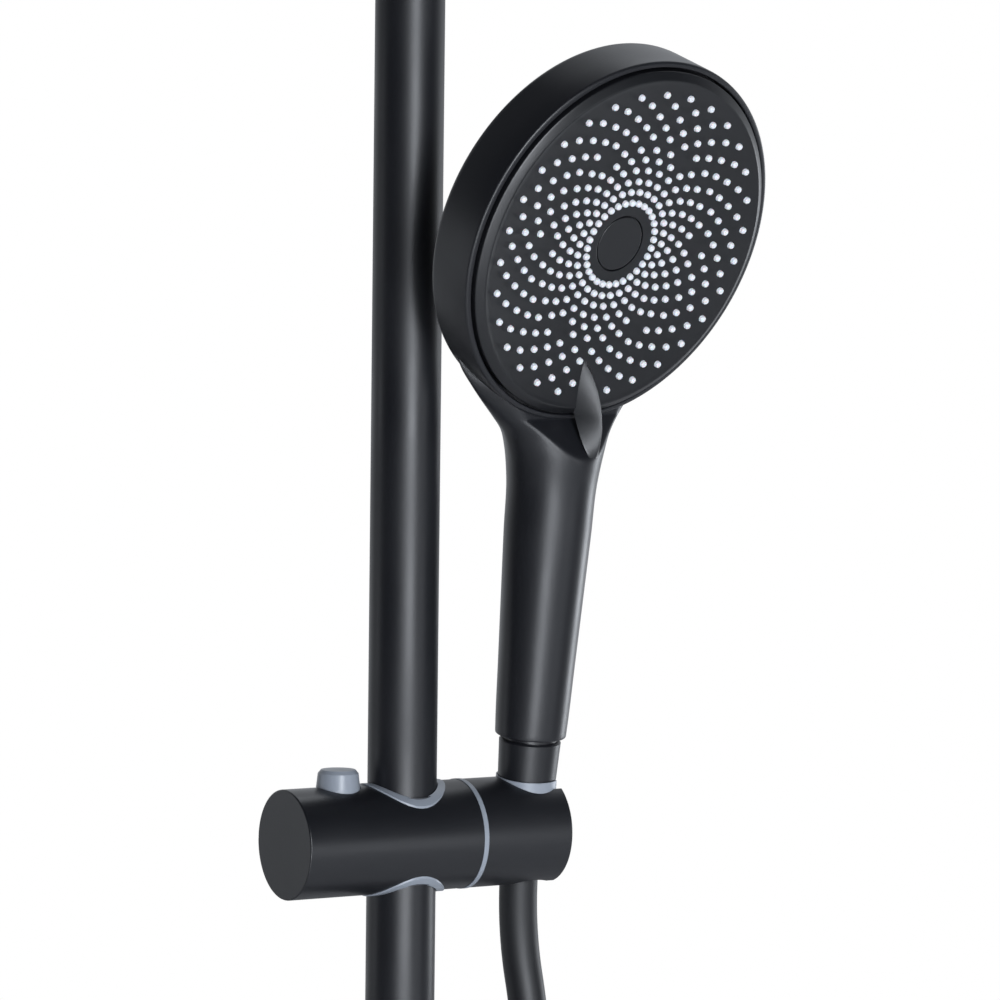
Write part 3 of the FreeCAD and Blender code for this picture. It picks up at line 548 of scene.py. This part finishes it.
def nozzle_places():
    """Radius and angle of every nozzle: equal steps round each ring, each second ring half a step on."""
    count = sizes().nozzles_per_ring
    ring, k = np.meshgrid(np.arange(len(NOZZLE_RINGS)), np.arange(count), indexing="ij")
    radius = np.array(NOZZLE_RINGS)[ring]
    angle = NOZZLE_TURN + (k + 0.5 * (ring % 2)) * 360 / count
    spare = (ring == SPARE_RING) & (k % 5 == 4)
    under_fin = (radius > 47) & (np.abs(angle - FIN_ANGLE) < FIN_GAP)
    keep = ~(spare | under_fin)
    return radius[keep], np.radians(angle[keep])


class SetNozzles(bpy.types.Operator):
    """Sets the rings of short domed nozzles into the spray plate"""
    bl_idname = "shower.set_nozzles"
    bl_label = "Set nozzles"

    def execute(self, context):
        radius, angle = nozzle_places()
        r = sizes().nozzle_radius / MM
        outline = [(r + 0.1, -0.12), (r, 0.1), (r * 0.97, 0.75), (r * 0.85, 1.05), (r * 0.55, 1.24)]
        outline += [(0, 1.3)]
        nub = ring_of(outline, 14)
        centre = np.stack([radius * np.cos(angle), radius * np.sin(angle), dish(radius)], axis=-1)
        points = on_face(centre[:, None, None, :] + nub[None])
        rows, around = nub.shape[:2]
        one = grid_faces(rows, around)
        every = (one[None] + (np.arange(len(radius)) * rows * around)[:, None, None]).reshape(-1, 4)
        nozzles = surface("silicone_nozzles", points, every, "spray_face", ("spray_nozzles",))
        dress(nozzles, "silicone")
        return {"FINISHED"}


# stations down the fin: place up the face, left foot, ridge and right foot across it, ridge height
FIN = np.array((
    (-44.6, -3.9, -3.2, -2.5, 1.0), (-46.5, -4.2, -2.0, -0.4, 2.2), (-50, -4.1, 0.1, 2.6, 4.2),
    (-56, -3.8, 2.3, 6.3, 7.2), (-62, -3.2, 3.6, 8.3, 9.6), (-68, -2.2, 4.2, 8.6, 11.4),
    (-73, -1.2, 4.2, 7.8, 12.2), (-76.6, 0.2, 3.9, 6.4, 12.3), (-78.2, 1.4, 3.5, 4.9, 12.0)))
PLATE_EDGE = 64.5                    # past this radius the fin's floor rises, to clear the drum's lip


def fin_points():
    """The selector's fin: between its stations, a section goes from the left foot over a round ridge to
    the right foot. Along the section t from -1 to 1, the height falls from the ridge as 1 - |t|^1.15.
    The stations are joined by straight lines, and then each line is smoothed over seven points."""
    v = np.linspace(FIN[0, 0], FIN[-1, 0], 60)
    lines = (np.interp(-v, -FIN[:, 0], FIN[:, k]) for k in range(1, 5))
    window = np.ones(7) / 7
    left, ridge, right, high = (np.convolve(np.pad(a, 3, "edge"), window, "valid")[:, None] for a in lines)
    t = np.linspace(-1, 1, 33)[None, :]
    across = np.where(t < 0, ridge + (ridge - left) * t, ridge + (right - ridge) * t)
    floor = dish(np.minimum(np.abs(v), DISH_EDGE))[:, None] - 0.4
    past_edge = -PLATE_EDGE - v[:, None]
    floor = np.where(past_edge > 0, 2.0 + past_edge * 0.7, floor)
    height = floor + (high - floor) * (1 - np.abs(t) ** 1.15)
    top = np.stack([across, np.broadcast_to(v[:, None], across.shape), height], axis=-1)
    under = top[:, 1:-1][:, ::-1].copy()
    under[..., 2] = np.broadcast_to(floor, under.shape[:2])
    loop = np.concatenate([top, under], axis=1)
    return capped(loop)


class ShapeFin(bpy.types.Operator):
    """Shapes the selector fin at the foot of the spray plate"""
    bl_idname = "shower.shape_fin"
    bl_label = "Shape fin"

    def execute(self, context):
        points = on_face(fin_points())
        fin = surface("selector_blade", points, grid_faces(*points.shape[:2]), "spray_face",
                      ("selector_fin",))
        dress(fin, "face_black")
        return {"FINISHED"}


# soft lamps, all aimed at the handset: name, place, width, height and watts
LAMPS = (
    ("front_strip", (-0.5, -3.2, 1.15), 1.0, 1.9, 94),
    ("right_front", (1.5, -2.6, 0.35), 1.0, 1.1, 7),
    ("overhead", (1.6, 0.6, 3.0), 1.6, 1.6, 10),
    ("low_front", (-1.05, -2.3, -0.1), 0.9, 0.7, 22),
    ("low_right", (2.9, 0.2, 0.25), 0.9, 0.8, 16),
    ("back_left", (-2.4, 1.6, 0.45), 0.8, 1.2, 4),
)
LAMP_COLOUR = (0.9, 0.94, 1.0)
AGLOW = (0.512, 0.856, 0.0)          # direction of the studio's bright wall, behind on the right

# the camera stands left of the rail at about head height and looks slightly down
CAMERA_PLACE = (-0.92722, RAIL_Y - 1.61561, SLIDER_Z + 0.25097)
CAMERA_RIGHT = (0.85845, -0.51276, 0.01174)
CAMERA_UP = (0.02540, 0.06537, 0.99754)
CAMERA_LENS, CAMERA_SENSOR = 187.89, 36.0


class LightStage(bpy.types.Operator):
    """Puts in a pale floor, soft lamps and the camera"""
    bl_idname = "shower.light_stage"
    bl_label = "Light stage"

    def execute(self, context):
        scene = context.scene
        self.lay_floor()
        scene.world = self.make_world()
        scene.view_settings.view_transform = "Standard"
        for lamp in LAMPS:
            self.softbox(scene, *lamp)
        self.place_camera(scene)
        return {"FINISHED"}

    def lay_floor(self):
        """A flat round floor, a little below the hose's loop."""
        around = 96
        turn = np.linspace(0, 2 * np.pi, around, endpoint=False)
        radii = np.array([0.001, 1.0, 2.0, 3.6])[:, None]
        level = np.full((len(radii), around), CAD_BOX[0][2] - 0.03)
        points = np.stack([radii * np.cos(turn), radii * np.sin(turn), level], axis=-1)
        floor = surface("floor", points, grid_faces(len(radii), around), None)
        paint = moulded("matte_pale_paint", "#dededf", 0.8, 6.0, 0.1, mottle=0.01, IOR=1.45)
        floor.data.materials.append(paint)

    def make_world(self):
        """White where the camera sees it. The light it casts is weak, and stronger from one wall."""
        world = bpy.data.worlds.new("studio")
        world.use_nodes = True
        tree = world.node_tree
        tree.nodes.clear()
        path = add(world, "ShaderNodeLightPath")
        seen = add(world, "ShaderNodeBackground", {"Color": (1, 1, 1, 1), "Strength": 1.0})
        place = add(world, "ShaderNodeTexCoord").outputs["Generated"]
        toward = add(world, "ShaderNodeVectorMath", {"operation": "DOT_PRODUCT"})
        toward.inputs[1].default_value = AGLOW
        tree.links.new(toward.inputs[0], place)
        spread = add(world, "ShaderNodeMapRange",
                     {"interpolation_type": "SMOOTHSTEP", "From Min": 0.0, "From Max": 0.85,
                      "To Min": 0.02, "To Max": 0.8}, Value=toward.outputs["Value"])
        cast = add(world, "ShaderNodeBackground", {"Color": (*LAMP_COLOUR, 1)},
                   Strength=spread.outputs["Result"])
        both = add(world, "ShaderNodeMixShader", Fac=path.outputs["Is Camera Ray"])
        tree.links.new(both.inputs[1], cast.outputs[0])
        tree.links.new(both.inputs[2], seen.outputs[0])
        add(world, "ShaderNodeOutputWorld", Surface=both.outputs[0])
        return world

    def softbox(self, scene, name, where, width, height, power):
        """A flat rectangular lamp, turned to the handset."""
        lamp = bpy.data.lights.new(name, "AREA")
        lamp.shape = "RECTANGLE"
        lamp.size, lamp.size_y = width, height
        lamp.energy = power
        lamp.color = LAMP_COLOUR
        target = Vector((0.03, RAIL_Y, SLIDER_Z + 0.1))
        stand = bpy.data.objects.new(name, lamp)
        stand.location = where
        stand.rotation_euler = (target - Vector(where)).to_track_quat("-Z", "Y").to_euler()
        scene.collection.objects.link(stand)

    def place_camera(self, scene):
        right, up = Vector(CAMERA_RIGHT), Vector(CAMERA_UP)
        lens = bpy.data.cameras.new("camera")
        lens.lens = CAMERA_LENS
        lens.sensor_width = CAMERA_SENSOR
        lens.clip_start = 0.05
        lens.clip_end = 50.0
        camera = bpy.data.objects.new("camera", lens)
        camera.location = CAMERA_PLACE
        matrix = camera.matrix_world.to_3x3()
        matrix.col[0], matrix.col[1] = right.normalized(), up.normalized()
        matrix.col[2] = right.cross(up).normalized()
        camera.rotation_euler = matrix.to_euler()
        scene.collection.objects.link(camera)
        scene.camera = camera


OPERATORS = (PaintFittings, RunHose, WindSpring, ShapeHandset, ShapeSprayPlate, SetNozzles, ShapeFin,
             LightStage)


class ShowerPanel(bpy.types.Panel):
    """Lists the steps that build the shower column"""
    bl_idname = "VIEW3D_PT_shower_column"
    bl_label = "Shower column"
    bl_space_type = "VIEW_3D"
    bl_region_type = "UI"
    bl_category = "Shower"

    def draw(self, context):
        for group in (context.scene.shower_finishes, context.scene.shower_sizes):
            for key in group.__annotations__:
                self.layout.prop(group, key)
        for operator in OPERATORS:
            self.layout.operator(operator.bl_idname)


CLASSES = (ShowerFinishes, ShowerSizes) + OPERATORS + (ShowerPanel,)


def register():
    for item in CLASSES:
        bpy.utils.register_class(item)
    bpy.types.Scene.shower_finishes = bpy.props.PointerProperty(type=ShowerFinishes)
    bpy.types.Scene.shower_sizes = bpy.props.PointerProperty(type=ShowerSizes)


def unregister():
    del bpy.types.Scene.shower_sizes
    del bpy.types.Scene.shower_finishes
    for item in reversed(CLASSES):
        bpy.utils.unregister_class(item)


def main():
    register()
    for operator in OPERATORS:
        group, name = operator.bl_idname.split(".")
        getattr(getattr(bpy.ops, group), name)()


if __name__ == "__main__":
    main()
